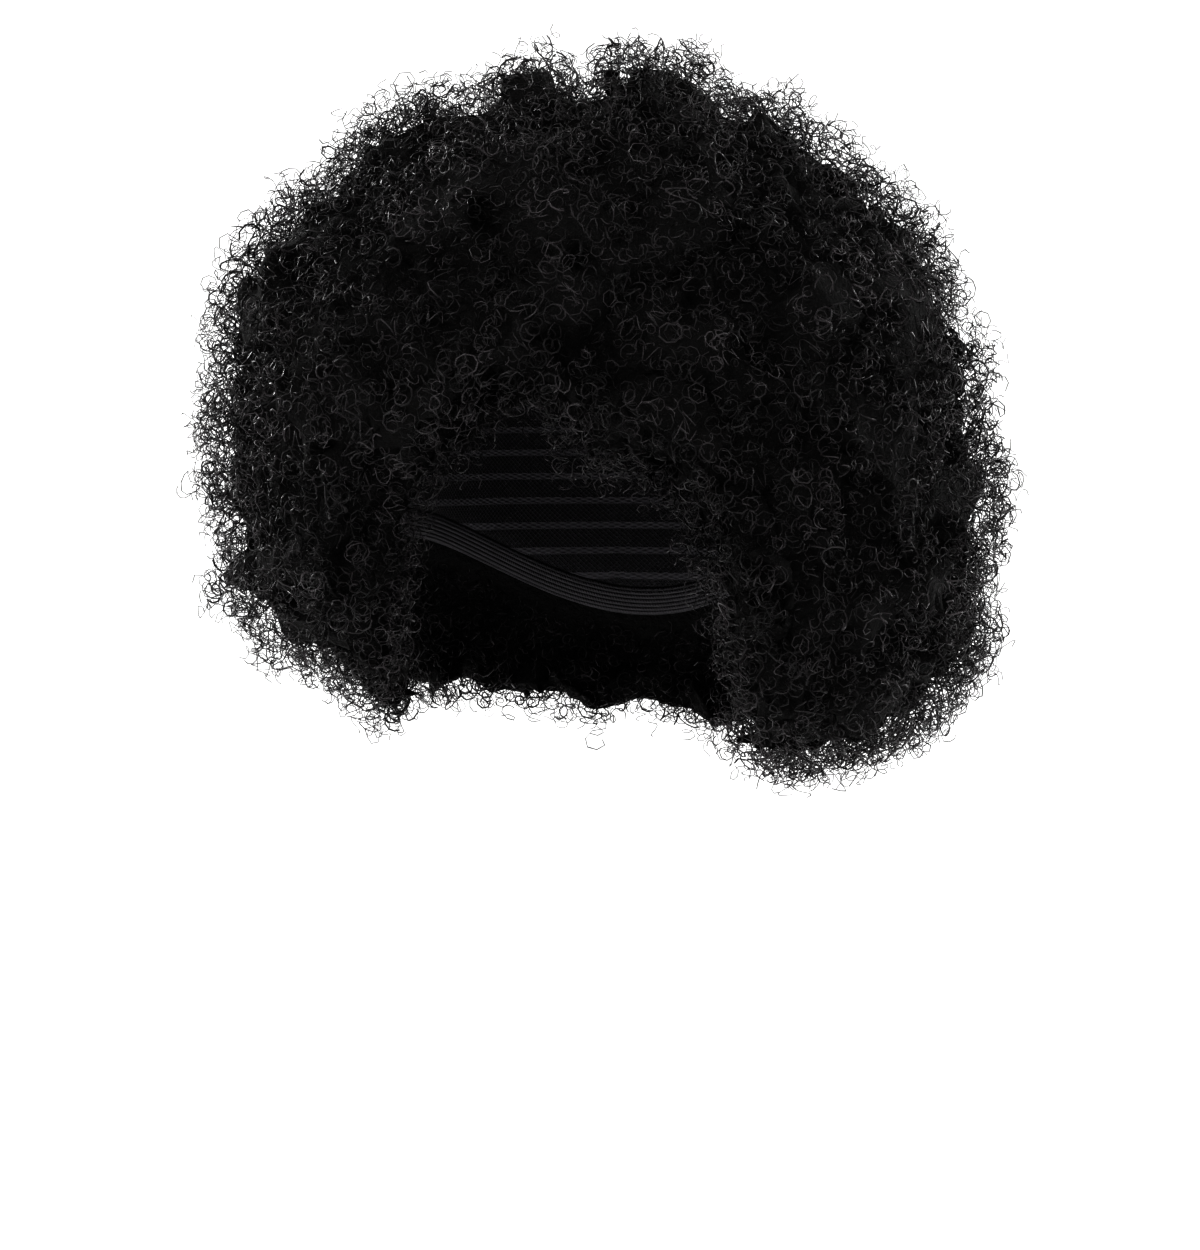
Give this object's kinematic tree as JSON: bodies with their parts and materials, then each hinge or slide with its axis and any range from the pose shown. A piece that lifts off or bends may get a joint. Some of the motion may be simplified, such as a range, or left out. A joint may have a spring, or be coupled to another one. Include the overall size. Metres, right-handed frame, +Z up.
{
  "type": "afro wig",
  "caption": "Very large round afro wig of short tight black curls on a net cap with an elastic edge, open in front for the face, stored as worn.",
  "frame": {"origin": "inside of the cap's crown, where the wig sits on top of the head", "axes": "+Z up, -Y the way the wearer faces, out of the face opening, +X the wearer's left"},
  "size_m": [0.3348, 0.3266, 0.3024],
  "materials": {
    "net": "dull black knitted net",
    "elastic": "ribbed black woven elastic",
    "hair": "black synthetic hair in tight springy curls with a soft sheen"
  },
  "bodies": {
    "root": {"cap_net": "net", "edge_band": "elastic", "crown_hair": "hair", "fringe_hair": "hair", "left_side_hair": "hair", "back_hair": "hair", "right_side_hair": "hair"}
  },
  "joints": []
}
